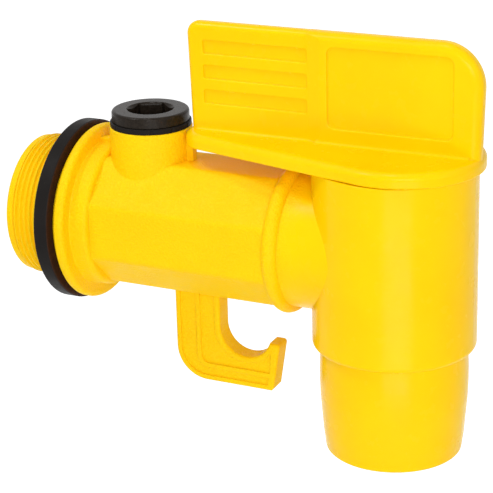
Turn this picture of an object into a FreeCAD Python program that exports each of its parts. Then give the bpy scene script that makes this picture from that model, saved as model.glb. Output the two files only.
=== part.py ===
import FreeCAD
import Part
import math
import os
import Sketcher

# Drum tap: a rotary plug valve with a two inch male inlet, a vent on top and a
# pail hook below. Millimetres. The origin is on the inlet axis, at the end of the
# thread's crests. +X runs along the inlet towards the outlet, +Z is up.

# Driving dimensions: name, value, what it sizes
DIMS = [
    ("thread_crest_r", 29.8, "inlet thread, crest radius"),
    ("thread_depth", 1.16, "inlet thread, ridge height"),
    ("thread_pitch", 2.309, "inlet thread, pitch"),
    ("thread_crest", 0.6, "inlet thread, width of a crest"),
    ("thread_foot", 1.9, "inlet thread, width of a ridge at its foot"),
    ("thread_len", 18.7, "thread beyond the origin"),
    ("lead_len", 3.2, "plain lead-in at the thread's end"),
    ("lead_drop", 0.75, "lead-in radius below the crest"),
    ("gasket_start", 0.1, "gasket's sealing face, behind the last crest"),
    ("gasket_thick", 6.3, "inlet gasket thickness"),
    ("gasket_rad", 37.9, "inlet gasket outer radius"),
    ("flange_rad", 36.9, "flange outer radius"),
    ("flange_thick", 6.5, "flange thickness"),
    ("seat_rad", 33.0, "seat behind the gasket, radius"),
    ("seat_len", 2.1, "seat behind the gasket, length"),
    ("flange_back_round", 1.6, "rounding of the flange's back edge"),
    ("flange_front_round", 1.8, "rounding of the flange's front edge"),
    ("hub_rad", 31.0, "hub in front of the flange"),
    ("hub_len", 7.3, "hub length"),
    ("hub_round", 2.0, "rounding of the hub's front edge"),
    ("inlet_bore_r", 24.5, "bore of the barrel"),
    ("barrel_flats", 54.0, "octagonal barrel, across flats"),
    ("barrel_corner_r", 3.5, "rounding of the barrel's corners"),
    ("bead_start", 98.0, "ring bead, first edge"),
    ("bead_width", 6.2, "ring bead width"),
    ("bead_rise", 2.8, "ring bead height over its foot"),
    ("bead_foot_r", 28.2, "radius at the foot of the bead"),
    ("neck_r", 28.0, "neck between bead and chamber"),
    ("valve_x", 142.6, "rotor axis"),
    ("chamber_r", 32.5, "chamber outer radius at the top"),
    ("chamber_flare", 0.3, "growth of the chamber radius at the bottom"),
    ("chamber_top", 35.3, "top rim of the chamber"),
    ("chamber_foot", 39.2, "bottom rim below the inlet axis"),
    ("chamber_round", 2.0, "rounding of the bottom rim"),
    ("chamber_bore_r", 29.1, "bore that carries the rotor"),
    ("port_r", 17.5, "port from the barrel into the chamber"),
    ("vent_x", 36.0, "vent axis"),
    ("boss_r", 17.0, "vent boss radius"),
    ("boss_top", 40.1, "vent boss, sealing face"),
    ("vent_bore_r", 13.0, "vent bore radius"),
    ("vent_pitch", 1.814, "vent thread pitch"),
    ("rib_thick", 3.4, "web ribs beside the boss"),
    ("rib_front_top", 32.6, "top of the rib next to the flange"),
    ("rib_rear_end", 55.8, "end of the rib under the handle"),
    ("rib_rear_top", 34.9, "top of that rib"),
    ("hook_thick", 9.2, "pail hook thickness"),
    ("hook_panel", 0.8, "depth of the hook's side panels"),
    ("hook_edge", 1.2, "rounding of the hook's edges"),
    ("hook_back", 46.2, "hook, back edge"),
    ("hook_foot", 68.6, "hook, underside below the axis"),
    ("hook_eye_x", 78.4, "centre of the hook's round"),
    ("hook_eye_z", 43.4, "centre of the hook's round, below the axis"),
    ("hook_eye_r", 11.6, "inner radius of the hook"),
    ("hook_root", 26.0, "depth of the hook's upper end, inside the barrel"),
    ("hook_heel_r", 14.0, "outer radius of the hook's heel"),
    ("hook_rim", 2.4, "width of the rim around the hook's panels"),
    ("hook_panel_top", 28.5, "depth of the upper end of the hook's panels"),
    ("hook_tip_x", 93.8, "outer edge of the hook's tip"),
    ("hook_tip_z", 47.2, "top of the hook's tip, below the axis"),
    ("run_fit", 0.06, "radial clearance of running fits"),
    ("gap", 0.3, "free gap between neighbouring pieces"),
    ("seat_fit", 0.03, "rubber rings off the bed of their grooves"),
    ("plug_in_r", 24.0, "rotor, inner radius"),
    ("plug_cap_z", 24.0, "underside of the rotor's cap"),
    ("plug_cap_t", 4.0, "thickness of the rotor's cap"),
    ("plug_rim_t", 3.0, "wall of the rotor's upper rim"),
    ("window_r", 17.0, "side window of the rotor"),
    ("spout_max_r", 29.85, "widest radius of the spout"),
    ("spout_end_r", 27.6, "spout radius at its end"),
    ("spout_foot", 83.9, "spout end below the inlet axis"),
    ("outlet_r", 24.6, "outlet bore radius"),
    ("ring_section", 2.2, "radial depth of the ring grooves"),
    ("ring_width", 3.4, "width of the ring grooves"),
    ("ring_upper_z", 29.8, "upper ring, above the axis"),
    ("ring_lower_z", 31.0, "lower ring, below the axis"),
    ("seal_in_r", 18.6, "port seal, inner radius"),
    ("seal_out_r", 21.4, "port seal, outer radius"),
    ("socket_r", 13.1, "socket for the handle's spigot"),
    ("socket_wall", 4.4, "wall of that socket"),
    ("snap_z", 31.8, "snap bead height"),
    ("key_w", 4.0, "spigot key width"),
    ("key_r", 15.4, "spigot keys, outer radius"),
    ("plate_r", 32.2, "handle plate, round end"),
    ("plate_shift", 3.1, "centre of that round, beyond the rotor axis"),
    ("plate_tip_r", 12.7, "handle plate, tip"),
    ("plate_tip_x", 66.4, "centre of the tip's round"),
    ("plate_z", 35.5, "underside of the handle plate"),
    ("plate_t", 5.9, "handle plate thickness"),
    ("plate_round", 2.8, "rounding of the plate's upper edge"),
    ("plate_round_low", 0.6, "rounding of the plate's lower edge"),
    ("fin_top", 85.2, "top of the grip"),
    ("fin_left", 55.0, "grip, left edge at the top"),
    ("fin_left_foot", 56.3, "grip, left edge at the plate"),
    ("fin_right", 178.1, "grip, right edge"),
    ("fin_right_foot", 177.2, "grip, right edge at the plate"),
    ("fin_t", 6.4, "grip thickness, left part"),
    ("fin_t_right", 8.5, "grip thickness, right part"),
    ("fin_step", 107.6, "start of the ramp up to the thick part"),
    ("fin_ramp", 5.4, "length of that ramp"),
    ("fin_left_round", 5.0, "grip, left corner"),
    ("fin_right_round", 17.0, "grip, right corner"),
    ("fin_edge", 2.6, "rounding of the left part's edges"),
    ("fin_edge_right", 3.5, "rounding of the right part's edges"),
    ("fin_foot_fillet", 1.2, "fillet between grip and plate"),
    ("slot_x", 62.4, "grip slots, left end"),
    ("slot_len", 44.6, "grip slots, length"),
    ("slot_z", 52.5, "lowest grip slot, lower edge"),
    ("slot_high", 5.4, "grip slot height"),
    ("slot_step", 10.1, "grip slot spacing"),
    ("slot_deep", 1.0, "grip slot depth"),
    ("recess_edge", 0.5, "rounding of the slots' and panels' edges"),
    ("panel_x", 115.9, "grip panel, left edge"),
    ("panel_len", 51.1, "grip panel length"),
    ("panel_z", 47.8, "grip panel, lower edge"),
    ("panel_high", 32.0, "grip panel height"),
    ("panel_deep", 0.9, "grip panel depth"),
    ("head_r", 15.95, "vent plug head radius"),
    ("head_top", 46.9, "vent plug head, top"),
    ("head_round", 1.2, "rounding of the head"),
    ("vgasket_t", 2.2, "vent gasket thickness"),
    ("vgasket_r", 16.7, "vent gasket outer radius"),
    ("hex_flats", 17.1, "hexagonal recess, across flats"),
    ("hex_deep", 5.6, "hexagonal recess depth"),
    ("hex_sink_r", 9.7, "countersink of the recess, radius"),
    ("pad_half", 4.5, "pad in the recess, half width"),
    ("shank_low", 24.6, "lower end of the vent plug"),
    ("shank_in_r", 9.6, "hollow of the vent plug"),
]

EIGHTH = math.tan(math.radians(22.5))


class Size:
    """A length together with the sheet expression that drives it."""

    def __init__(self, value, text):
        self.value = value
        self.text = text

    def __add__(self, other):
        other = size(other)
        return Size(self.value + other.value, "(%s + %s)" % (self.text, other.text))

    def __sub__(self, other):
        other = size(other)
        return Size(self.value - other.value, "(%s - %s)" % (self.text, other.text))

    def __mul__(self, other):
        other = size(other)
        return Size(self.value * other.value, "(%s * %s)" % (self.text, other.text))

    def __truediv__(self, other):
        other = size(other)
        return Size(self.value / other.value, "(%s / %s)" % (self.text, other.text))

    def __neg__(self):
        return Size(-self.value, "(0 - %s)" % self.text)


def size(number):
    if isinstance(number, Size):
        return number
    return Size(float(number), "(%.9g)" % number)


def root(amount):
    """The square root of a size."""
    return Size(math.sqrt(amount.value), "sqrt(%s)" % amount.text)


class Sheet:
    """Gives every driving dimension as an attribute."""


doc = FreeCAD.newDocument("drum_tap")
cells = doc.addObject("Spreadsheet::Sheet", "Dims")
d = Sheet()
for row, (name, value, note) in enumerate(DIMS, 1):
    cells.set("A%d" % row, name)
    cells.set("B%d" % row, "%.9g" % value)
    cells.set("C%d" % row, note)
    cells.setAlias("B%d" % row, name)
    setattr(d, name, Size(value, "Dims.%s" % name))
doc.recompute()

# Sizes that follow from the driving ones
flange_back = d.gasket_start + d.gasket_thick
flange_rim = flange_back + d.seat_len
flange_front = flange_back + d.flange_thick
hub_end = flange_front + d.hub_len
root_r = d.thread_crest_r - d.thread_depth
bead_end = d.bead_start + d.bead_width
plug_r = d.chamber_bore_r - d.run_fit
plug_inner_top = d.plug_cap_z + d.plug_cap_t
ring_bed_r = plug_r - d.ring_section
ring_out_r = d.chamber_bore_r - d.run_fit * 0.5
shank_r = d.vent_bore_r - d.run_fit
head_foot = d.boss_top + d.vgasket_t
plate_top = d.plate_z + d.plate_t
plate_x = d.valve_x + d.plate_shift
spout_shoulder = -(d.chamber_foot + d.gap)


# Helpers for sketches and features
def bind(target, prop, amount):
    amount = size(amount)
    target.setExpression(prop, amount.text)


def new_body(label):
    body = doc.addObject("PartDesign::Body", label)
    body.Label = label
    return body


def plane_of(body, role):
    for item in body.Origin.OriginFeatures:
        if item.Role == role:
            return item
    raise RuntimeError("no plane " + role)


def new_sketch(body, role, name, shift=None):
    """A sketch on one of the body's planes; shift is (x, y, z) in the plane's own axes."""
    sketch = body.newObject("Sketcher::SketchObject", name)
    sketch.AttachmentSupport = [(plane_of(body, role), "")]
    sketch.MapMode = "FlatFace"
    for axis, amount in zip("xyz", shift or ()):
        bind(sketch, "AttachmentOffset.Base." + axis, amount)
    doc.recompute()
    return sketch


def fix_point(sketch, geo, pos, point):
    for kind, amount in (("DistanceX", point[0]), ("DistanceY", point[1])):
        index = sketch.addConstraint(Sketcher.Constraint(kind, -1, 1, geo, pos, amount.value))
        sketch.setExpression("Constraints[%d]" % index, amount.text)


def add_outline(sketch, items):
    """A closed outline. Each item is (x, y) or (x, y, r): r rounds the way to the next
    point with an arc of that radius, turning left for a positive r."""
    points = [(size(item[0]), size(item[1])) for item in items]
    ends = []
    for k, item in enumerate(items):
        a = points[k]
        b = points[(k + 1) % len(points)]
        va = FreeCAD.Vector(a[0].value, a[1].value, 0)
        vb = FreeCAD.Vector(b[0].value, b[1].value, 0)
        if len(item) == 2:
            geo = sketch.addGeometry(Part.LineSegment(va, vb), False)
            ends.append((geo, 1, 2))
            continue
        radius = size(item[2])
        half = (vb - va).Length / 2
        rise = math.sqrt(max(radius.value ** 2 - half ** 2, 0.0))
        along = (vb - va).normalize()
        left = FreeCAD.Vector(-along.y, along.x, 0)
        turn = 1 if radius.value > 0 else -1
        centre = (va + vb) * 0.5 + left * (turn * rise)
        first, last = (va, vb) if turn > 0 else (vb, va)
        start = math.atan2(first.y - centre.y, first.x - centre.x)
        stop = math.atan2(last.y - centre.y, last.x - centre.x)
        circle = Part.Circle(centre, FreeCAD.Vector(0, 0, 1), abs(radius.value))
        geo = sketch.addGeometry(Part.ArcOfCircle(circle, start, stop), False)
        ends.append((geo, 1, 2) if turn > 0 else (geo, 2, 1))
        index = sketch.addConstraint(Sketcher.Constraint("Radius", geo, abs(radius.value)))
        text = radius.text if turn > 0 else (-radius).text
        sketch.setExpression("Constraints[%d]" % index, text)
    for k, (geo, first, last) in enumerate(ends):
        after, after_first, _ = ends[(k + 1) % len(ends)]
        sketch.addConstraint(Sketcher.Constraint("Coincident", geo, last, after, after_first))
        fix_point(sketch, geo, first, points[k])


def add_circle(sketch, x, y, radius):
    x, y, radius = size(x), size(y), size(radius)
    middle = FreeCAD.Vector(x.value, y.value, 0)
    geo = sketch.addGeometry(Part.Circle(middle, FreeCAD.Vector(0, 0, 1), radius.value), False)
    fix_point(sketch, geo, 3, (x, y))
    index = sketch.addConstraint(Sketcher.Constraint("Radius", geo, radius.value))
    sketch.setExpression("Constraints[%d]" % index, radius.text)


def box_outline(x0, y0, x1, y1, corner=None):
    """A rectangle, with rounded corners when a corner radius is given."""
    if corner is None:
        return [(x0, y0), (x1, y0), (x1, y1), (x0, y1)]
    x0, y0, x1, y1, c = size(x0), size(y0), size(x1), size(y1), size(corner)
    return [(x0 + c, y0), (x1 - c, y0, c), (x1, y0 + c), (x1, y1 - c, c),
            (x1 - c, y1), (x0 + c, y1, c), (x0, y1 - c), (x0, y0 + c, c)]


def volume_of(body):
    shape = body.Shape
    return 0.0 if shape.isNull() else shape.Volume


def check_grew(body, before, sign, name):
    doc.recompute()
    if (volume_of(body) - before) * sign < 1e-3:
        raise RuntimeError("%s changed the volume by %.4f" % (name, volume_of(body) - before))


def turn(body, sketch, axis, name, cut=False):
    """Turns a sketch about its own H_Axis or V_Axis, adding or removing material."""
    before = volume_of(body)
    kind = "PartDesign::Groove" if cut else "PartDesign::Revolution"
    feature = body.newObject(kind, name)
    feature.Profile = sketch
    feature.ReferenceAxis = (sketch, [axis])
    feature.Angle = 360.0
    sketch.Visibility = False
    check_grew(body, before, -1 if cut else 1, name)
    return feature


def extrude(body, sketch, length, name, cut=False, middle=False, back=False):
    before = volume_of(body)
    feature = body.newObject("PartDesign::Pocket" if cut else "PartDesign::Pad", name)
    feature.Profile = sketch
    bind(feature, "Length", length)
    feature.Midplane = middle
    feature.Reversed = back
    check_grew(body, before, -1 if cut else 1, name)
    return feature


def row_of(body, feature, sketch, axis, step, count, name, sign=1):
    before = volume_of(body)
    pattern = body.newObject("PartDesign::LinearPattern", name)
    pattern.Originals = [feature]
    pattern.Direction = (sketch, [axis])
    pattern.Length = step.value * (count - 1)
    pattern.setExpression("Length", (step * (count - 1)).text)
    pattern.Occurrences = count
    body.Tip = pattern
    check_grew(body, before, sign, name)
    return pattern


def ring_of(body, feature, sketch, count, name, sign=1):
    before = volume_of(body)
    pattern = body.newObject("PartDesign::PolarPattern", name)
    pattern.Originals = [feature]
    pattern.Axis = (sketch, ["N_Axis"])
    pattern.Angle = 360.0
    pattern.Occurrences = count
    body.Tip = pattern
    check_grew(body, before, sign, name)
    return pattern


def mirror(body, features, role, name, sign=1):
    before = volume_of(body)
    pattern = body.newObject("PartDesign::Mirrored", name)
    pattern.Originals = features
    pattern.MirrorPlane = (plane_of(body, role), [""])
    body.Tip = pattern
    check_grew(body, before, sign, name)
    return pattern


def edges_where(feature, test):
    names = []
    for k, edge in enumerate(feature.Shape.Edges, 1):
        if test(edge):
            names.append("Edge%d" % k)
    if not names:
        raise RuntimeError("no edge to round on " + feature.Name)
    return names


def round_edges(body, feature, test, radius, name):
    fillet = body.newObject("PartDesign::Fillet", name)
    fillet.Base = (feature, edges_where(feature, test))
    fillet.Radius = size(radius).value
    bind(fillet, "Radius", radius)
    doc.recompute()
    if fillet.Shape.isNull() or not fillet.Shape.isValid():
        raise RuntimeError(name + " failed")
    return fillet


def ridge_outline(x, foot, crest, width, flat):
    """One thread ridge: x is its middle, width its foot, flat its crest."""
    return [(x - width * 0.5, foot), (x + width * 0.5, foot),
            (x + flat * 0.5, crest), (x - flat * 0.5, crest)]


# Valve body: inlet, flange, barrel, vent boss, chamber and hook in one moulding
def barrel_outline():
    back, front = d.flange_back_round, d.flange_front_round
    start = -d.thread_len
    lead_end = start + d.lead_len
    lead_r = d.thread_crest_r - d.lead_drop
    core_r = d.barrel_flats * 0.5 - 0.6
    rise = d.bead_rise
    half = d.bead_width * 0.5
    bead_r = (half * half + rise * rise) / (rise * 2.0)
    return [
        (start, 0), (start, lead_r - 0.6), (start + 0.6, lead_r), (lead_end, lead_r), (lead_end, root_r),
        (flange_back, root_r), (flange_back, d.seat_rad), (flange_rim, d.seat_rad),
        (flange_rim, d.flange_rad - back, -back),
        (flange_rim + back, d.flange_rad), (flange_front - front, d.flange_rad, -front),
        (flange_front, d.flange_rad - front), (flange_front, d.hub_rad + 0.6, 0.6),
        (flange_front + 0.6, d.hub_rad), (hub_end - d.hub_round, d.hub_rad - 0.5, -d.hub_round),
        (hub_end, d.hub_rad - 0.5 - d.hub_round), (hub_end, core_r), (d.bead_start, core_r),
        (d.bead_start, d.bead_foot_r, -bead_r), (bead_end, d.bead_foot_r), (bead_end, d.neck_r),
        (d.valve_x, d.neck_r), (d.valve_x, 0),
    ]


def octagon_outline(half, corner):
    """A regular octagon with flats at top, bottom and sides, and rounded corners."""
    points = []
    cut = corner * EIGHTH
    side = half * EIGHTH
    for k in range(8):
        # the corner between flat k and flat k + 1, before and after its rounding
        a = math.radians(45.0 * k)
        for s in (-1, 1):
            x = half * math.cos(a) - side * math.sin(a)
            y = half * math.sin(a) + side * math.cos(a)
            b = a if s < 0 else a + math.radians(45.0)
            x = x + cut * (math.sin(b) * -s)
            y = y + cut * (math.cos(b) * s)
            points.append((x, y, corner) if s < 0 else (x, y))
    return points


def hook_outline():
    """The hook seen from the side, drawn in x and z."""
    x0, foot, heel = d.hook_back, -d.hook_foot, d.hook_heel_r
    eye_x, eye_z, eye_r = d.hook_eye_x, -d.hook_eye_z, d.hook_eye_r
    tip_z = -d.hook_tip_z
    drop = eye_z - tip_z
    reach = root(eye_r * eye_r - drop * drop)
    return [
        (x0, -d.hook_root), (x0, foot + heel, heel), (x0 + heel, foot), (d.hook_tip_x - 4.0, foot),
        (d.hook_tip_x - 3.0, foot + 1.2), (d.hook_tip_x, tip_z - 1.4, 1.4),
        (d.hook_tip_x - 1.4, tip_z), (eye_x + reach, tip_z, -eye_r),
        (eye_x - eye_r, eye_z), (eye_x - eye_r, -d.hook_root),
    ]


def hook_panels():
    """The two sunk panels on each side of the hook: inside the rim, and around the eye."""
    rim, heel, top = d.hook_rim, d.hook_heel_r, -d.hook_panel_top
    x0, foot = d.hook_back, -d.hook_foot
    eye_x, eye_z, eye_r = d.hook_eye_x, -d.hook_eye_z, d.hook_eye_r
    ridge_x = x0 + 9.6
    ledge, bend = foot + 5.9, 5.6
    outer = [
        (x0 + rim, top), (x0 + rim, foot + heel, heel - rim), (x0 + heel, foot + rim),
        (d.hook_tip_x - 5.6, foot + rim), (d.hook_tip_x - 5.0, ledge), (ridge_x + bend, ledge, -bend),
        (ridge_x, ledge + bend), (ridge_x, top),
    ]
    inner_r = eye_r + rim
    drop = size(8.0)
    reach = root(inner_r * inner_r - drop * drop)
    inner = [
        (ridge_x + 2.0, top), (ridge_x + 2.0, ledge + 6.0, 4.0), (ridge_x + 6.0, ledge + 2.0),
        (d.hook_tip_x - 4.4, ledge + 2.0), (eye_x + reach, eye_z - drop, -inner_r),
        (eye_x - inner_r, eye_z), (eye_x - inner_r, top),
    ]
    return outer, inner


def sector_outline(inner, outer, start, stop):
    """An annular sector about the sketch's origin, angles in degrees."""
    a, b = math.radians(start), math.radians(stop)
    inner, outer = size(inner), size(outer)
    return [
        (inner * math.cos(a), inner * math.sin(a)), (outer * math.cos(a), outer * math.sin(a), outer),
        (outer * math.cos(b), outer * math.sin(b)), (inner * math.cos(b), inner * math.sin(b), -inner),
    ]


# Counts and angles in degrees
THREAD_RIDGES = 7
STOP_REST = 225.0
STOP_HALF = 7.0
STOP_PLAY = 0.4


def make_valve_body():
    body = new_body("valve_body")

    sketch = new_sketch(body, "XZ_Plane", "barrel_run_sketch")
    add_outline(sketch, barrel_outline())
    turn(body, sketch, "H_Axis", "barrel_run")

    sketch = new_sketch(body, "YZ_Plane", "octagon_sketch", (0, 0, hub_end - 1.0))
    add_outline(sketch, octagon_outline(d.barrel_flats * 0.5, d.barrel_corner_r))
    extrude(body, sketch, d.bead_start + 3.0 - (hub_end - 1.0), "octagon")

    sketch = new_sketch(body, "XZ_Plane", "chamber_sketch", (d.valve_x, 0, 0))
    rim = d.chamber_r + d.chamber_flare
    foot, c = -d.chamber_foot, d.chamber_round
    add_outline(sketch, [(0, foot), (rim - c, foot, c), (rim, foot + c), (d.chamber_r, d.chamber_top - 0.2),
                         (d.chamber_r - 0.2, d.chamber_top), (0, d.chamber_top)])
    turn(body, sketch, "V_Axis", "chamber")

    sketch = new_sketch(body, "XZ_Plane", "boss_sketch", (d.vent_x, 0, 0))
    add_outline(sketch, [(0, 20.0), (d.boss_r, 20.0), (d.boss_r, d.boss_top - 0.5, 0.5),
                         (d.boss_r - 0.5, d.boss_top), (0, d.boss_top)])
    turn(body, sketch, "V_Axis", "boss")

    sketch = new_sketch(body, "XZ_Plane", "front_rib_sketch")
    low = 25.0
    add_outline(sketch, [(flange_front - 0.5, low), (d.vent_x - d.boss_r + 1.0, low),
                         (d.vent_x - d.boss_r + 1.0, d.rib_front_top), (flange_front - 0.5, d.rib_front_top)])
    extrude(body, sketch, d.rib_thick, "front_rib", middle=True)

    sketch = new_sketch(body, "XZ_Plane", "rear_rib_sketch")
    add_outline(sketch, [(d.vent_x + d.boss_r - 1.0, low), (d.rib_rear_end, low),
                         (d.rib_rear_end, d.rib_rear_top), (d.vent_x + d.boss_r - 1.0, d.rib_rear_top)])
    extrude(body, sketch, d.rib_thick, "rear_rib", middle=True)

    sketch = new_sketch(body, "XZ_Plane", "hook_sketch")
    add_outline(sketch, hook_outline())
    hook = extrude(body, sketch, d.hook_thick, "hook", middle=True)
    side = d.hook_thick.value / 2
    below = -d.hook_panel_top.value - 1.5
    round_edges(body, hook, lambda e: on_side(e, side) and e.BoundBox.ZMin < below,
                d.hook_edge, "hook_rounding")
    for name, outline in zip(("hook_outer_panel", "hook_inner_panel"), hook_panels()):
        sketch = new_sketch(body, "XZ_Plane", name + "_sketch", (0, 0, d.hook_thick * 0.5))
        add_outline(sketch, outline)
        cut = extrude(body, sketch, d.hook_panel, name, cut=True)
        mirror(body, [cut], "XZ_Plane", name + "_back", sign=-1)

    sketch = new_sketch(body, "XZ_Plane", "thread_sketch")
    first = d.thread_crest * -0.5 - d.thread_pitch * (THREAD_RIDGES - 1)
    add_outline(sketch, ridge_outline(first, root_r - 0.3, d.thread_crest_r, d.thread_foot, d.thread_crest))
    ridge = turn(body, sketch, "H_Axis", "thread_ridge")
    row_of(body, ridge, sketch, "H_Axis", d.thread_pitch, THREAD_RIDGES, "thread")

    make_valve_body_cuts(body)
    return body


def make_valve_body_cuts(body):
    """The flow way, the chamber bore, the vent bore and the stop rebate."""
    sketch = new_sketch(body, "XZ_Plane", "flow_sketch")
    step = d.valve_x - d.chamber_bore_r - 5.0
    start = -d.thread_len - 1.0
    add_outline(sketch, [(start, 0), (start, d.inlet_bore_r), (step, d.inlet_bore_r),
                         (step + 3.0, d.port_r), (d.valve_x, d.port_r), (d.valve_x, 0)])
    turn(body, sketch, "H_Axis", "flow_way", cut=True)

    sketch = new_sketch(body, "XZ_Plane", "chamber_bore_sketch", (d.valve_x, 0, 0))
    top, foot = d.chamber_top + 1.0, -d.chamber_foot - 1.0
    add_outline(sketch, [(0, foot), (d.chamber_bore_r, foot), (d.chamber_bore_r, top), (0, top)])
    turn(body, sketch, "V_Axis", "chamber_bore", cut=True)

    sketch = new_sketch(body, "XZ_Plane", "vent_bore_sketch", (d.vent_x, 0, 0))
    top = d.boss_top + 1.0
    add_outline(sketch, [(0, 18.0), (d.vent_bore_r, 18.0), (d.vent_bore_r, top), (0, top)])
    turn(body, sketch, "V_Axis", "vent_bore", cut=True)

    sketch = new_sketch(body, "XZ_Plane", "vent_thread_sketch", (d.vent_x, 0, 0))
    base = d.boss_top - 11.0
    deep, p = 0.7, d.vent_pitch
    add_outline(sketch, [(d.vent_bore_r - 0.2, base - p * 0.4), (d.vent_bore_r + deep, base - p * 0.1),
                         (d.vent_bore_r + deep, base + p * 0.1), (d.vent_bore_r - 0.2, base + p * 0.4)])
    groove = turn(body, sketch, "V_Axis", "vent_thread_groove", cut=True)
    row_of(body, groove, sketch, "V_Axis", p, 6, "vent_thread", sign=-1)

    sketch = new_sketch(body, "XY_Plane", "stop_rebate_sketch", (d.valve_x, 0, d.chamber_top))
    first, last = STOP_REST - STOP_HALF - STOP_PLAY, STOP_REST + 90.0 + STOP_HALF + STOP_PLAY
    add_outline(sketch, sector_outline(d.chamber_bore_r - 0.5, d.chamber_bore_r + 1.8, first, last))
    extrude(body, sketch, 2.6, "stop_rebate", cut=True)


# Rotor: a hollow plug that turns in the chamber and ends below as the spout
def rotor_outline():
    low = -d.spout_foot
    rim_in = plug_r - d.plug_rim_t
    boss_r = d.socket_r + d.socket_wall
    boss_top = d.plate_z - 0.4
    groove = d.socket_r + 0.5
    widen, reach = d.spout_max_r - d.spout_end_r, spout_shoulder - low
    return [
        (d.outlet_r, low + 0.5), (d.outlet_r + 0.5, low), (d.spout_end_r - 0.8, low, 0.8),
        (d.spout_end_r, low + 0.8), (d.spout_end_r + widen * 0.38, low + reach * 0.17),
        (d.spout_end_r + widen * 0.67, low + reach * 0.36),
        (d.spout_end_r + widen * 0.91, low + reach * 0.52),
        (d.spout_max_r, low + reach * 0.65), (d.spout_max_r, low + reach * 0.79),
        (d.spout_max_r - 0.3, spout_shoulder),
        (plug_r - 0.2, spout_shoulder), (plug_r - 0.2, -d.chamber_foot), (plug_r, -d.chamber_foot + 0.6),
        (plug_r, d.plate_z), (rim_in, d.plate_z), (rim_in, plug_inner_top), (boss_r, plug_inner_top),
        (boss_r, boss_top), (d.socket_r + 0.6, boss_top), (d.socket_r, boss_top - 0.6),
        (d.socket_r, d.snap_z + 1.1), (groove, d.snap_z + 0.6), (groove, d.snap_z - 0.6),
        (d.socket_r, d.snap_z - 1.1), (d.socket_r, plug_inner_top), (0, plug_inner_top), (0, d.plug_cap_z),
        (d.plug_in_r, d.plug_cap_z), (d.plug_in_r, -d.chamber_foot - 1.0),
        (d.outlet_r, -d.chamber_foot - 1.6),
    ]


def make_rotor():
    body = new_body("rotor_core")

    sketch = new_sketch(body, "XZ_Plane", "rotor_sketch", (d.valve_x, 0, 0))
    add_outline(sketch, rotor_outline())
    turn(body, sketch, "V_Axis", "rotor_wall")

    for name, z in (("upper_ring_groove", d.ring_upper_z), ("lower_ring_groove", -d.ring_lower_z)):
        sketch = new_sketch(body, "XZ_Plane", name + "_sketch", (d.valve_x, 0, 0))
        half = d.ring_width * 0.5
        add_outline(sketch, box_outline(ring_bed_r, z - half, plug_r + 1.0, z + half))
        turn(body, sketch, "V_Axis", name, cut=True)

    sketch = new_sketch(body, "YZ_Plane", "window_sketch", (0, 0, d.valve_x - d.chamber_r))
    add_circle(sketch, 0, 0, d.window_r)
    extrude(body, sketch, d.chamber_r * 0.68, "window", cut=True, back=True)

    sketch = new_sketch(body, "XY_Plane", "socket_key_sketch", (d.valve_x, 0, d.plate_z))
    half = d.key_w * 0.5 + 0.15
    add_outline(sketch, box_outline(d.socket_r - 1.5, -half, d.key_r + 0.3, half))
    key = extrude(body, sketch, d.plate_z - plug_inner_top, "socket_key", cut=True)
    ring_of(body, key, sketch, 4, "socket_keys", sign=-1)

    sketch = new_sketch(body, "XY_Plane", "cap_rib_sketch", (d.valve_x, 0, plug_inner_top - 0.5))
    a = math.radians(45.0)
    near, far, w = d.socket_r + d.socket_wall - 0.4, plug_r - d.plug_rim_t + 0.4, 1.0
    ux, uy = math.cos(a), math.sin(a)
    add_outline(sketch, [(near * ux + w * uy, near * uy - w * ux), (far * ux + w * uy, far * uy - w * ux),
                         (far * ux - w * uy, far * uy + w * ux), (near * ux - w * uy, near * uy + w * ux)])
    rib = extrude(body, sketch, 6.5, "cap_rib")
    ring_of(body, rib, sketch, 4, "cap_ribs")

    sketch = new_sketch(body, "XY_Plane", "stop_lug_sketch", (d.valve_x, 0, d.chamber_top - 2.2))
    first, last = STOP_REST - STOP_HALF, STOP_REST + STOP_HALF
    add_outline(sketch, sector_outline(plug_r - 0.6, d.chamber_bore_r + 1.5, first, last))
    extrude(body, sketch, 2.2, "stop_lug")

    groove = saddle_ring("seal_groove", d.seal_in_r - d.gap, d.seal_out_r + d.gap, ring_bed_r, plug_r + 2.0)
    rotor = doc.addObject("Part::Cut", "rotor_plug")
    rotor.Label = "rotor_plug"
    rotor.Base = body
    rotor.Tool = groove
    return rotor


def cylinder(name, radius, height):
    item = doc.addObject("Part::Cylinder", name)
    bind(item, "Radius", radius)
    bind(item, "Height", height)
    return item


def saddle_ring(name, inner, outer, bed, face):
    """A ring about the inlet axis, bent to the rotor: between two radii of the rotor."""
    tubes = []
    for tag, radius in (("_out", outer), ("_in", inner)):
        item = cylinder(name + tag, radius, d.chamber_r)
        across = FreeCAD.Rotation(FreeCAD.Vector(0, 1, 0), 90)
        item.Placement = FreeCAD.Placement(FreeCAD.Vector(), across)
        bind(item, "Placement.Base.x", d.valve_x - d.chamber_r - 4.0)
        tubes.append(item)
    shells = []
    for tag, radius in (("_face", face), ("_bed", bed)):
        item = cylinder(name + tag, radius, d.seal_out_r * 3.0)
        bind(item, "Placement.Base.x", d.valve_x)
        bind(item, "Placement.Base.z", d.seal_out_r * -1.5)
        shells.append(item)
    ring = doc.addObject("Part::Cut", name + "_tube")
    ring.Base, ring.Tool = tubes
    shell = doc.addObject("Part::Cut", name + "_shell")
    shell.Base, shell.Tool = shells
    common = doc.addObject("Part::Common", name)
    common.Label = name
    common.Base = ring
    common.Tool = shell
    return common


def make_ring(name, z):
    body = new_body(name)
    sketch = new_sketch(body, "XZ_Plane", name + "_sketch", (d.valve_x, 0, 0))
    half = d.ring_width * 0.5 - 0.2
    add_outline(sketch, box_outline(ring_bed_r + d.seat_fit, z - half, ring_out_r, z + half, 0.9))
    turn(body, sketch, "V_Axis", name + "_turned")
    return body


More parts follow.
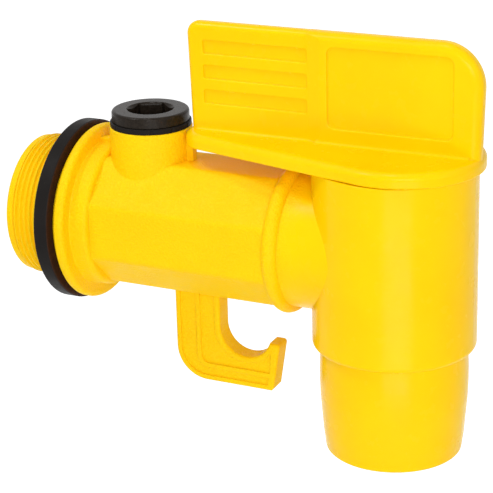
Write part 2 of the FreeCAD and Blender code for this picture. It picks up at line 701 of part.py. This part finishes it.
# Handle: a plate over the chamber with an upright grip and a keyed spigot below
def plate_sketch(body):
    """Two arcs on the centre line joined by tangent lines."""
    sketch = new_sketch(body, "XY_Plane", "plate_sketch", (0, 0, d.plate_z))
    up = FreeCAD.Vector(0, 0, 1)
    big, small = d.plate_r.value, d.plate_tip_r.value
    far, near = plate_x.value, d.plate_tip_x.value
    lean = math.asin((big - small) / (far - near))
    top = math.pi / 2 + lean
    ends = []
    for x, r in ((far, big), (near, small)):
        ends.append((FreeCAD.Vector(x + r * math.cos(top), r * math.sin(top), 0),
                     FreeCAD.Vector(x + r * math.cos(top), -r * math.sin(top), 0)))
    circle = Part.Circle(FreeCAD.Vector(far, 0, 0), up, big)
    a = sketch.addGeometry(Part.ArcOfCircle(circle, -top, top), False)
    b = sketch.addGeometry(Part.LineSegment(ends[0][0], ends[1][0]), False)
    circle = Part.Circle(FreeCAD.Vector(near, 0, 0), up, small)
    c = sketch.addGeometry(Part.ArcOfCircle(circle, top, 2 * math.pi - top), False)
    e = sketch.addGeometry(Part.LineSegment(ends[1][1], ends[0][1]), False)
    for first, last in (((a, 2), (b, 1)), ((b, 2), (c, 1)), ((c, 2), (e, 1)), ((e, 2), (a, 1))):
        sketch.addConstraint(Sketcher.Constraint("Tangent", first[0], first[1], last[0], last[1]))
    fix_point(sketch, a, 3, (plate_x, size(0)))
    fix_point(sketch, c, 3, (d.plate_tip_x, size(0)))
    for geo, radius in ((a, d.plate_r), (c, d.plate_tip_r)):
        index = sketch.addConstraint(Sketcher.Constraint("Radius", geo, radius.value))
        sketch.setExpression("Constraints[%d]" % index, radius.text)
    return sketch


def lies_flat(edge, z):
    box = edge.BoundBox
    return abs(box.ZMin - z) < 1e-3 and abs(box.ZMax - z) < 1e-3


def stands_at(edge, x):
    box = edge.BoundBox
    return abs(box.XMin - x) < 1e-3 and abs(box.XMax - x) < 1e-3


def on_side(edge, half):
    box = edge.BoundBox
    return abs(abs(box.YMin) - half) < 1e-3 and abs(box.YMax - box.YMin) < 1e-3


def is_rim(edge, foot, end):
    """True for an edge that is neither the grip's foot nor its end inside the other part."""
    return not lies_flat(edge, foot.value) and not stands_at(edge, end.value)


def is_inside(edge, start, stop):
    """True for an edge between two places along X and below the grip's top rounding."""
    box = edge.BoundBox
    return box.XMin > start.value - 1e-3 and box.XMax < stop.value + 1e-3 and box.ZMax < d.fin_top.value - 4.0


def make_plate():
    """The plate with the fillets at the grip's foot, and the keyed spigot below."""
    body = new_body("handle_plate")
    plate = extrude(body, plate_sketch(body), d.plate_t, "plate")
    top, low = plate_top.value, d.plate_z.value
    plate = round_edges(body, plate, lambda e: lies_flat(e, top), d.plate_round, "plate_upper_rounding")
    round_edges(body, plate, lambda e: lies_flat(e, low), d.plate_round_low, "plate_lower_rounding")

    f = d.fin_foot_fillet
    turn_x = d.fin_step + d.fin_ramp * 0.6
    for name, start, stop, half in (
            ("left_foot", d.fin_left_foot + d.fin_edge, turn_x, d.fin_t * 0.5),
            ("right_foot", turn_x, d.fin_right_foot - d.fin_edge_right, d.fin_t_right * 0.5)):
        sketch = new_sketch(body, "YZ_Plane", name + "_sketch", (0, 0, start))
        inside = half - 0.5
        add_outline(sketch, [(inside, plate_top - 0.5), (half + f, plate_top - 0.5),
                             (half + f, plate_top, -f), (half, plate_top + f), (inside, plate_top + f)])
        fillet = extrude(body, sketch, stop - start, name)
        mirror(body, [fillet], "XZ_Plane", name + "_back")

    sketch = new_sketch(body, "XZ_Plane", "spigot_sketch", (d.valve_x, 0, 0))
    r = d.socket_r - 0.1
    low = plug_inner_top + 0.4
    top = d.plate_z + 0.5
    add_outline(sketch, [(0, low), (r - 0.8, low), (r, low + 0.8), (r, d.snap_z - 0.9),
                         (r + 0.4, d.snap_z - 0.4), (r + 0.4, d.snap_z + 0.4), (r, d.snap_z + 0.9),
                         (r, top), (0, top)])
    turn(body, sketch, "V_Axis", "spigot")

    sketch = new_sketch(body, "XY_Plane", "key_sketch", (d.valve_x, 0, top))
    add_outline(sketch, box_outline(d.socket_r - 2.0, d.key_w * -0.5, d.key_r, d.key_w * 0.5))
    key = extrude(body, sketch, top - low, "key", back=True)
    ring_of(body, key, sketch, 4, "keys")
    return body


def make_left_grip():
    """The thin part of the grip, with three slots on each side."""
    body = new_body("left_grip")
    foot = d.plate_z + 1.6
    top, corner = d.fin_top, d.fin_left_round
    end = d.fin_step + 4.0
    sketch = new_sketch(body, "XZ_Plane", "left_grip_sketch")
    add_outline(sketch, [(d.fin_left_foot, foot), (end, foot), (end, top), (d.fin_left + corner, top, corner),
                         (d.fin_left, top - corner)])
    grip = extrude(body, sketch, d.fin_t, "left_grip_slab", middle=True)
    half = d.fin_t.value / 2
    round_edges(body, grip, lambda e: on_side(e, half) and is_rim(e, foot, end),
                d.fin_edge, "left_grip_rounding")
    sketch = new_sketch(body, "XZ_Plane", "slots_sketch", (0, 0, d.fin_t * 0.5))
    for k in range(3):
        low = d.slot_z + d.slot_step * k
        add_outline(sketch, box_outline(d.slot_x, low, d.slot_x + d.slot_len, low + d.slot_high, 0.9))
    slots = extrude(body, sketch, d.slot_deep, "slots", cut=True)
    slots = mirror(body, [slots], "XZ_Plane", "slots_back", sign=-1)
    round_edges(body, slots, lambda e: on_side(e, half) and is_inside(e, d.slot_x, d.slot_x + d.slot_len),
                d.recess_edge, "slot_rounding")
    return body


def make_right_grip():
    """The thick part of the grip, with a flat panel on each side."""
    body = new_body("right_grip")
    foot = d.plate_z + 1.6
    top, big = d.fin_top, d.fin_right_round
    sketch = new_sketch(body, "XZ_Plane", "right_grip_sketch")
    add_outline(sketch, [(d.fin_step, foot), (d.fin_right_foot, foot), (d.fin_right, top - big, big),
                         (d.fin_right - big, top), (d.fin_step, top)])
    grip = extrude(body, sketch, d.fin_t_right, "right_grip_slab", middle=True)
    half = d.fin_t_right.value / 2
    round_edges(body, grip, lambda e: on_side(e, half) and is_rim(e, foot, d.fin_step),
                d.fin_edge_right, "right_grip_rounding")
    sketch = new_sketch(body, "XY_Plane", "ramp_sketch", (d.fin_step, 0, foot - 1.0))
    thin, thick = d.fin_t * 0.5, d.fin_t_right * 0.5
    add_outline(sketch, [(-1.0, thin), (0, thin), (d.fin_ramp, thick), (d.fin_ramp, thick + 1.0),
                         (-1.0, thick + 1.0)])
    ramp = extrude(body, sketch, top - foot + 2.0, "grip_ramp", cut=True, back=True)
    mirror(body, [ramp], "XZ_Plane", "grip_ramp_back", sign=-1)
    sketch = new_sketch(body, "XZ_Plane", "panel_sketch", (0, 0, d.fin_t_right * 0.5))
    end, high = d.panel_x + d.panel_len, d.panel_z + d.panel_high
    add_outline(sketch, box_outline(d.panel_x, d.panel_z, end, high, 3.0))
    panel = extrude(body, sketch, d.panel_deep, "panel", cut=True)
    panel = mirror(body, [panel], "XZ_Plane", "panel_back", sign=-1)
    round_edges(body, panel, lambda e: on_side(e, half) and is_inside(e, d.panel_x, end),
                d.recess_edge, "panel_rounding")
    return body


def make_handle():
    handle = doc.addObject("Part::MultiFuse", "handle")
    handle.Label = "handle"
    handle.Shapes = [make_plate(), make_left_grip(), make_right_grip()]
    return handle


# Gaskets and vent plug
def make_inlet_gasket():
    body = new_body("inlet_gasket")
    sketch = new_sketch(body, "XZ_Plane", "inlet_gasket_sketch")
    inner = d.thread_crest_r + d.gap
    add_outline(sketch, box_outline(d.gasket_start, inner, flange_back, d.gasket_rad, 0.6))
    turn(body, sketch, "H_Axis", "inlet_gasket_turned")
    return body


def make_vent_gasket():
    body = new_body("vent_gasket")
    sketch = new_sketch(body, "XZ_Plane", "vent_gasket_sketch", (d.vent_x, 0, 0))
    add_outline(sketch, box_outline(d.vent_bore_r + d.gap, d.boss_top, d.vgasket_r, head_foot, 0.4))
    turn(body, sketch, "V_Axis", "vent_gasket_turned")
    sketch = new_sketch(body, "XY_Plane", "nick_sketch", (d.vent_x, 0, head_foot + 1.0))
    add_circle(sketch, d.vgasket_r + 0.45, 0, 0.8)
    nick = extrude(body, sketch, 5.0, "nick", cut=True)
    ring_of(body, nick, sketch, 12, "nicks", sign=-1)
    return body


def make_vent_plug():
    body = new_body("vent_plug")
    sketch = new_sketch(body, "XZ_Plane", "vent_plug_sketch", (d.vent_x, 0, 0))
    c = d.head_round
    core_r = shank_r - 0.75
    web = d.head_top - d.hex_deep - 2.6
    add_outline(sketch, [
        (0, d.head_top), (0, web), (d.shank_in_r, web), (d.shank_in_r, d.shank_low),
        (core_r - 0.6, d.shank_low), (core_r, d.shank_low + 0.6), (core_r, head_foot),
        (d.head_r - 0.3, head_foot), (d.head_r, head_foot + 0.3), (d.head_r, d.head_top - c, c),
        (d.head_r - c, d.head_top),
    ])
    turn(body, sketch, "V_Axis", "vent_plug_turned")

    sketch = new_sketch(body, "XZ_Plane", "vent_ridge_sketch", (d.vent_x, 0, 0))
    base, p = d.boss_top - 11.0 - d.vent_pitch, d.vent_pitch
    add_outline(sketch, [(core_r - 0.3, base - p * 0.42), (shank_r, base - p * 0.12),
                         (shank_r, base + p * 0.12), (core_r - 0.3, base + p * 0.42)])
    ridge = turn(body, sketch, "V_Axis", "vent_ridge")
    row_of(body, ridge, sketch, "V_Axis", p, 7, "vent_ridges")

    sketch = new_sketch(body, "XY_Plane", "hex_sketch", (d.vent_x, 0, d.head_top))
    corner = d.hex_flats * (0.5 / math.cos(math.radians(30.0)))
    points = []
    for k in range(6):
        a = math.radians(60.0 * k + 26.0)
        points.append((corner * math.cos(a), corner * math.sin(a)))
    add_outline(sketch, points)
    extrude(body, sketch, d.hex_deep, "hex_recess", cut=True)

    sketch = new_sketch(body, "XZ_Plane", "hex_sink_sketch", (d.vent_x, 0, 0))
    wall = d.hex_flats * 0.5 - 0.2
    add_outline(sketch, [(0, d.head_top + 0.5), (d.hex_sink_r + 0.5, d.head_top + 0.5),
                         (wall, d.head_top - d.hex_sink_r + wall), (0, d.head_top - d.hex_sink_r + wall)])
    turn(body, sketch, "V_Axis", "hex_sink", cut=True)

    sketch = new_sketch(body, "XY_Plane", "lug_sketch", (d.vent_x, 0, d.head_top - d.hex_deep))
    add_outline(sketch, lug_outline())
    extrude(body, sketch, d.hex_deep - 0.6, "lug")
    return body


def lug_outline():
    """A rounded pad on one wall of the recess, turned with the hexagon."""
    a = math.radians(26.0 + 90.0)
    wall = d.hex_flats * 0.5
    half = d.pad_half
    points = []
    for t, n in ((-half, 1.4), (-half, -1.2), (half, -1.2), (half, 1.4)):
        r = wall + n
        points.append((r * math.cos(a) - t * math.sin(a), r * math.sin(a) + t * math.cos(a)))
    return points


def main():
    pieces = [
        make_valve_body(), make_rotor(), make_handle(),
        make_ring("upper_ring", d.ring_upper_z), make_ring("lower_ring", -d.ring_lower_z),
        saddle_ring("port_seal", d.seal_in_r, d.seal_out_r, ring_bed_r + d.seat_fit, ring_out_r),
        make_inlet_gasket(), make_vent_plug(), make_vent_gasket(),
    ]
    doc.recompute()
    for item in doc.Objects:
        if "Invalid" in item.State or "Error" in item.State:
            raise RuntimeError("%s is in state %s" % (item.Name, item.State))
    for piece in pieces:
        shape = piece.Shape
        if shape.isNull() or not shape.isValid() or len(shape.Solids) != 1:
            raise RuntimeError("%s: %d solids, valid %s" % (piece.Label, len(shape.Solids), shape.isValid()))
    os.makedirs("parts", exist_ok=True)
    for piece in pieces:
        piece.Shape.exportStep("parts/%s.step" % piece.Label)
        print("%-14s %9.1f mm3" % (piece.Label, piece.Shape.Volume))


main()
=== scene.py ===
"""Looks, camera and light of the drum tap, drawn around its solids.

Lengths are metres in the tap's own frame: X runs along the barrel, Z is up.
"""

import math

import bpy
from mathutils import Matrix, Vector

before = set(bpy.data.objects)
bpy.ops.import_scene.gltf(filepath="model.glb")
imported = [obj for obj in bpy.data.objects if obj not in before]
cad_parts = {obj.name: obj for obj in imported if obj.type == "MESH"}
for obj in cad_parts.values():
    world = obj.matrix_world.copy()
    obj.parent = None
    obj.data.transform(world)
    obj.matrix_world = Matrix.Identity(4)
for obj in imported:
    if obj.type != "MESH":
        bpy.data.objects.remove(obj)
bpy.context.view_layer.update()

# camera, as the photograph sees the tap
AZIMUTH = math.radians(25.95)
ELEVATION = math.radians(20.17)
ROLL = math.radians(-1.47)
TARGET = Vector((0.07801, 0.0, -0.00756))
DISTANCE = 0.71949
LENS = 128.55
SENSOR = 36.0
NEAREST = 0.01
FARTHEST = 50.0

# stage
FLOOR_Z = -0.45
FLOOR_HALF = 6.0
FLOOR_GLOW = 0.65
WORLD_LEVEL = 0.52

# lamps: azimuth and elevation in degrees, distance, width, height, and power in watts
LAMPS = {
    "key": (-50, 56, 1.1, 0.16, 0.16, 3.0),
    "front": (27, 17, 1.0, 0.5, 0.3, 3.6),
    "low": (28, -20, 1.0, 0.6, 0.12, 1.7),
    "fill": (85, 20, 1.3, 0.9, 0.9, 1.2),
    "top": (-10, 78, 1.1, 0.14, 0.14, 1.8),
}

# colours, as linear red, green, blue and alpha
YELLOW = (1.0, 0.620, 0.0005, 1)
DEEP_YELLOW = (1.0, 0.580, 0.0, 1)
PALE_YELLOW = (1.0, 0.6572, 0.01, 1)
PLUG_DARK = (0.011, 0.008, 0.0055, 1)
PLUG_PALE = (0.022, 0.016, 0.011, 1)
RUBBER_DARK = (0.009, 0.0075, 0.007, 1)
RUBBER_PALE = (0.017, 0.015, 0.014, 1)
DUST = (0.09, 0.075, 0.045, 1)
PAINTED_FLANGE_REFLECTION = (0.062, 0.020, 0.006, 1)
FLOOR_WHITE = (0.88, 0.88, 0.88, 1)

# yellow plastic: sizes of its features, and depths of those that are raised
CLOUD_SIZE = 0.030
SCUFF_SIZE = 0.0022
GLOSS_SIZE = 0.006
WAVE_SIZE = 0.022
WAVE_DEPTH = 0.00016
GRAIN_SIZE = 0.0010
BODY_GRAIN_DEPTH = 0.000006
HANDLE_GRAIN_DEPTH = 0.000004

# its pebbles, which fade out around a place along X; their peaks are painted paler as glints
PEBBLE_SIZE = 0.0009
PEBBLE_DEPTH = 0.00011
PEBBLES_END = 0.108
PEBBLES_FADE = 0.004
PEBBLE_GLINT_TINT = 0.35
PEBBLE_ROUGHNESS = 0.24

# black plastic
PLUG_DUST_SIZE = 0.0016
SPARK_SIZE = 0.0007
SPARK_DEPTH = 0.00002

# rubber, and where along X the painted reflection of the yellow flange on the gasket's face starts
PATCH_SIZE = 0.012
SPECK_SIZE = 0.0013
MOTTLE_SIZE = 0.0018
DULL_SIZE = 0.004
RUBBER_GRAIN_SIZE = 0.0010
RUBBER_GRAIN_DEPTH = 0.00004
REFLECTION_START = 0.0060
REFLECTION_FADE = 0.0003

# sharp edges look rounded by these radii
SOFT_EDGE = 0.0006
PLUG_EDGE = 0.0005


# ---------------------------------------------------------------- materials


class Surface:
    """A material under construction on one Principled shader."""

    def __init__(self, name):
        self.material = bpy.data.materials.new(name)
        self.material.use_nodes = True
        self.tree = self.material.node_tree
        self.shader = self.tree.nodes["Principled BSDF"]
        self.place = self.add("TexCoord").outputs["Object"]

    def feed(self, socket, value):
        """Joins a socket to another one, or writes a plain value on it."""
        if isinstance(value, bpy.types.NodeSocket):
            self.tree.links.new(value, socket)
        else:
            socket.default_value = value

    def add(self, kind, inputs=None, **settings):
        """A new shader node with its settings and inputs."""
        node = self.tree.nodes.new("ShaderNode" + kind)
        for key, value in settings.items():
            setattr(node, key, value)
        for key, value in (inputs or {}).items():
            self.feed(node.inputs[key], value)
        return node

    def noise(self, size, detail, roughness=0.5):
        """Soft noise whose features are about size metres across."""
        inputs = {"Vector": self.place, "Scale": 1.0 / size, "Detail": detail, "Roughness": roughness}
        return self.add("TexNoise", inputs).outputs["Fac"]

    def spread(self, value, low, high, start=0.3, end=0.7):
        """Maps start..end of a value to low..high."""
        inputs = {"Value": value, "From Min": start, "From Max": end, "To Min": low, "To Max": high}
        return self.add("MapRange", inputs).outputs["Result"]

    def along(self):
        """Place along X, in metres."""
        return self.add("SeparateXYZ", {"Vector": self.place}).outputs["X"]

    def total(self, first, second):
        """Sum of two values."""
        return self.add("Math", {0: first, 1: second}, operation="ADD").outputs[0]

    def product(self, first, second):
        """Product of two values."""
        return self.add("Math", {0: first, 1: second}, operation="MULTIPLY").outputs[0]

    def blend(self, share, first, second):
        """Colour between first and second."""
        node = self.add("Mix", data_type="RGBA")
        self.feed(node.inputs["Factor"], share)
        self.feed(node.inputs[6], first)
        self.feed(node.inputs[7], second)
        return node.outputs[2]

    def bump(self, height, depth, normal):
        """Raises the surface by height times depth metres."""
        inputs = {"Height": height, "Distance": depth, "Normal": normal, "Strength": 1.0}
        return self.add("Bump", inputs).outputs["Normal"]

    def soft_edges(self, radius):
        """Normals that round the sharp edges of the solid."""
        return self.add("Bevel", {"Radius": radius}, samples=8).outputs["Normal"]

    def finish(self, colour, roughness, normal, specular):
        """Joins all that varies to the shader, sets its specular level, gives the material."""
        self.feed(self.shader.inputs["Base Color"], colour)
        self.feed(self.shader.inputs["Roughness"], roughness)
        self.feed(self.shader.inputs["Normal"], normal)
        self.shader.inputs["Specular IOR Level"].default_value = specular
        return self.material


def moulded_plastic(name, grain_depth, pebbles_end=None):
    """Waxy yellow polyolefin: flow clouds, scuffs, soft waves and a fine grain.

    Up to pebbles_end along X the surface is pebbled: rougher, with bumps whose peaks are painted
    paler, a painted glint.
    """
    s = Surface(name)
    clouds = s.spread(s.noise(CLOUD_SIZE, 3.0), 0.0, 1.0)
    colour = s.blend(clouds, YELLOW, DEEP_YELLOW)
    scuffs = s.spread(s.noise(SCUFF_SIZE, 5.0, 0.7), 0.0, 0.5, 0.62, 0.72)
    colour = s.blend(scuffs, colour, PALE_YELLOW)
    roughness = s.spread(s.noise(GLOSS_SIZE, 4.0), 0.17, 0.30)
    normal = s.soft_edges(SOFT_EDGE)
    normal = s.bump(s.noise(WAVE_SIZE, 1.0), WAVE_DEPTH, normal)
    normal = s.bump(s.noise(GRAIN_SIZE, 2.0), grain_depth, normal)
    if pebbles_end is not None:
        fade = (pebbles_end - PEBBLES_FADE, pebbles_end + PEBBLES_FADE)
        share = s.spread(s.along(), 1.0, 0.0, *fade)
        peaks = s.spread(s.noise(PEBBLE_SIZE, 2.0), 0.0, 1.0, 0.38, 0.62)
        peaks = s.product(peaks, share)
        # painted glint: the pebble peaks are painted pale yellow
        colour = s.blend(s.product(peaks, PEBBLE_GLINT_TINT), colour, PALE_YELLOW)
        roughness = s.total(roughness, s.product(share, PEBBLE_ROUGHNESS))
        normal = s.bump(peaks, PEBBLE_DEPTH, normal)
    s.shader.inputs["Subsurface Weight"].default_value = 0.15
    s.shader.inputs["Subsurface Radius"].default_value = (1.0, 0.45, 0.02)
    s.shader.inputs["Subsurface Scale"].default_value = 0.004
    return s.finish(colour, roughness, normal, 0.085)


def black_plastic():
    """Satin black plug with a fine spark grain."""
    s = Surface("black_plastic")
    dust = s.noise(PLUG_DUST_SIZE, 4.0, 0.7)
    colour = s.blend(s.spread(dust, 0.0, 1.0), PLUG_DARK, PLUG_PALE)
    roughness = s.spread(dust, 0.20, 0.34)
    normal = s.bump(s.noise(SPARK_SIZE, 2.0), SPARK_DEPTH, s.soft_edges(PLUG_EDGE))
    return s.finish(colour, roughness, normal, 0.10)


def rubber(name, dusty, reflection_start=None):
    """Soft black rubber with dull patches and a little dust.

    From reflection_start on along X, a mottled brown is painted on it: a painted reflection of the
    yellow flange.
    """
    s = Surface(name)
    colour = s.blend(s.noise(PATCH_SIZE, 3.0), RUBBER_DARK, RUBBER_PALE)
    specks = s.spread(s.noise(SPECK_SIZE, 3.0, 0.75), 0.0, dusty, 0.66, 0.74)
    colour = s.blend(specks, colour, DUST)
    if reflection_start is not None:
        reflected_share = s.spread(s.along(), 0.0, 1.0, reflection_start, reflection_start + REFLECTION_FADE)
        reflection_mottle = s.spread(s.noise(MOTTLE_SIZE, 4.0, 0.7), 0.25, 0.9)
        # painted reflection: mottled brown where the yellow flange would reflect on the gasket's face
        colour = s.blend(s.product(reflected_share, reflection_mottle), colour, PAINTED_FLANGE_REFLECTION)
    roughness = s.spread(s.noise(DULL_SIZE, 3.0), 0.36, 0.52)
    grain = s.noise(RUBBER_GRAIN_SIZE, 3.0)
    normal = s.bump(grain, RUBBER_GRAIN_DEPTH, s.soft_edges(SOFT_EDGE))
    return s.finish(colour, roughness, normal, 0.045)


def dress():
    """Gives every solid its material."""
    ring = rubber("ring_rubber", 0.1)
    looks = {
        "valve_body": moulded_plastic("yellow_body", BODY_GRAIN_DEPTH, PEBBLES_END),
        "rotor_plug": moulded_plastic("yellow_spout", BODY_GRAIN_DEPTH),
        "handle": moulded_plastic("yellow_handle", HANDLE_GRAIN_DEPTH),
        "vent_plug": black_plastic(),
        "inlet_gasket": rubber("gasket_rubber", 0.25, REFLECTION_START),
        "vent_gasket": rubber("vent_rubber", 0.35),
        "upper_ring": ring,
        "lower_ring": ring,
        "port_seal": ring,
    }
    for node, material in looks.items():
        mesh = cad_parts[node].data
        mesh.materials.clear()
        mesh.materials.append(material)


# ---------------------------------------------------------------- stage


def seen_directly(tree):
    """1 for rays that show the background itself: camera, mirrored and transmitted ones."""
    path = tree.nodes.new("ShaderNodeLightPath")
    seen = path.outputs["Is Camera Ray"]
    for ray in ("Is Glossy Ray", "Is Transmission Ray"):
        either = tree.nodes.new("ShaderNodeMath")
        either.operation = "MAXIMUM"
        tree.links.new(seen, either.inputs[0])
        tree.links.new(path.outputs[ray], either.inputs[1])
        seen = either.outputs[0]
    return seen


def white_world():
    """Plain soft light all round, and a white background wherever it is seen."""
    world = bpy.data.worlds.new("studio")
    world.use_nodes = True
    bpy.context.scene.world = world
    tree = world.node_tree
    background = tree.nodes["Background"]
    level = tree.nodes.new("ShaderNodeMapRange")
    level.inputs["To Min"].default_value = WORLD_LEVEL
    level.inputs["To Max"].default_value = 1.0
    tree.links.new(seen_directly(tree), level.inputs["Value"])
    tree.links.new(level.outputs["Result"], background.inputs["Strength"])
    background.inputs["Color"].default_value = (1, 1, 1, 1)


def floor_material():
    """Matt white that glows a little where it is seen, but lights nothing."""
    material = bpy.data.materials.new("floor_white")
    material.use_nodes = True
    tree = material.node_tree
    shader = tree.nodes["Principled BSDF"]
    shader.inputs["Base Color"].default_value = FLOOR_WHITE
    shader.inputs["Roughness"].default_value = 0.9
    shader.inputs["Specular IOR Level"].default_value = 0.0
    glow = tree.nodes.new("ShaderNodeEmission")
    glow.inputs["Strength"].default_value = FLOOR_GLOW
    both = tree.nodes.new("ShaderNodeAddShader")
    tree.links.new(shader.outputs[0], both.inputs[0])
    tree.links.new(glow.outputs[0], both.inputs[1])
    choose = tree.nodes.new("ShaderNodeMixShader")
    tree.links.new(seen_directly(tree), choose.inputs[0])
    tree.links.new(shader.outputs[0], choose.inputs[1])
    tree.links.new(both.outputs[0], choose.inputs[2])
    tree.links.new(choose.outputs[0], tree.nodes["Material Output"].inputs["Surface"])
    return material


def floor():
    """A plain pale floor some way below the tap, which hangs on a drum in use."""
    mesh = bpy.data.meshes.new("floor")
    half = FLOOR_HALF
    corners = [(-half, -half, 0), (half, -half, 0), (half, half, 0), (-half, half, 0)]
    mesh.from_pydata(corners, [], [(0, 1, 2, 3)])
    mesh.materials.append(floor_material())
    ground = bpy.data.objects.new("floor", mesh)
    ground.location = (TARGET.x, 0, FLOOR_Z)
    bpy.context.scene.collection.objects.link(ground)


def softbox(name, azimuth, elevation, distance, width, height, power):
    """An area lamp aimed at the tap, placed as the camera's angles are."""
    a, e = math.radians(azimuth), math.radians(elevation)
    back = Vector((math.sin(a) * math.cos(e), -math.cos(a) * math.cos(e), math.sin(e)))
    data = bpy.data.lights.new(name, "AREA")
    data.shape = "RECTANGLE"
    data.size = width
    data.size_y = height
    data.energy = power
    lamp = bpy.data.objects.new(name, data)
    lamp.location = TARGET + back * distance
    lamp.rotation_euler = back.to_track_quat("Z", "Y").to_euler()
    lamp.visible_camera = False
    bpy.context.scene.collection.objects.link(lamp)


def camera():
    """The camera at the photograph's angle."""
    right = Vector((math.cos(AZIMUTH), math.sin(AZIMUTH), 0))
    ahead = Vector((
        -math.sin(AZIMUTH) * math.cos(ELEVATION),
        math.cos(AZIMUTH) * math.cos(ELEVATION),
        -math.sin(ELEVATION),
    ))
    up = right.cross(ahead)
    rolled = right * math.cos(ROLL) + up * math.sin(ROLL)
    upright = up * math.cos(ROLL) - right * math.sin(ROLL)
    data = bpy.data.cameras.new("camera")
    data.lens = LENS
    data.sensor_width = SENSOR
    data.clip_start = NEAREST
    data.clip_end = FARTHEST
    eye = bpy.data.objects.new("camera", data)
    turn = Matrix((rolled, upright, -ahead)).transposed().to_4x4()
    eye.matrix_world = Matrix.Translation(TARGET - ahead * DISTANCE) @ turn
    bpy.context.scene.collection.objects.link(eye)
    bpy.context.scene.camera = eye


dress()
white_world()
floor()
for lamp_name, numbers in LAMPS.items():
    softbox(lamp_name, *numbers)
camera()
bpy.context.scene.view_settings.view_transform = "Standard"
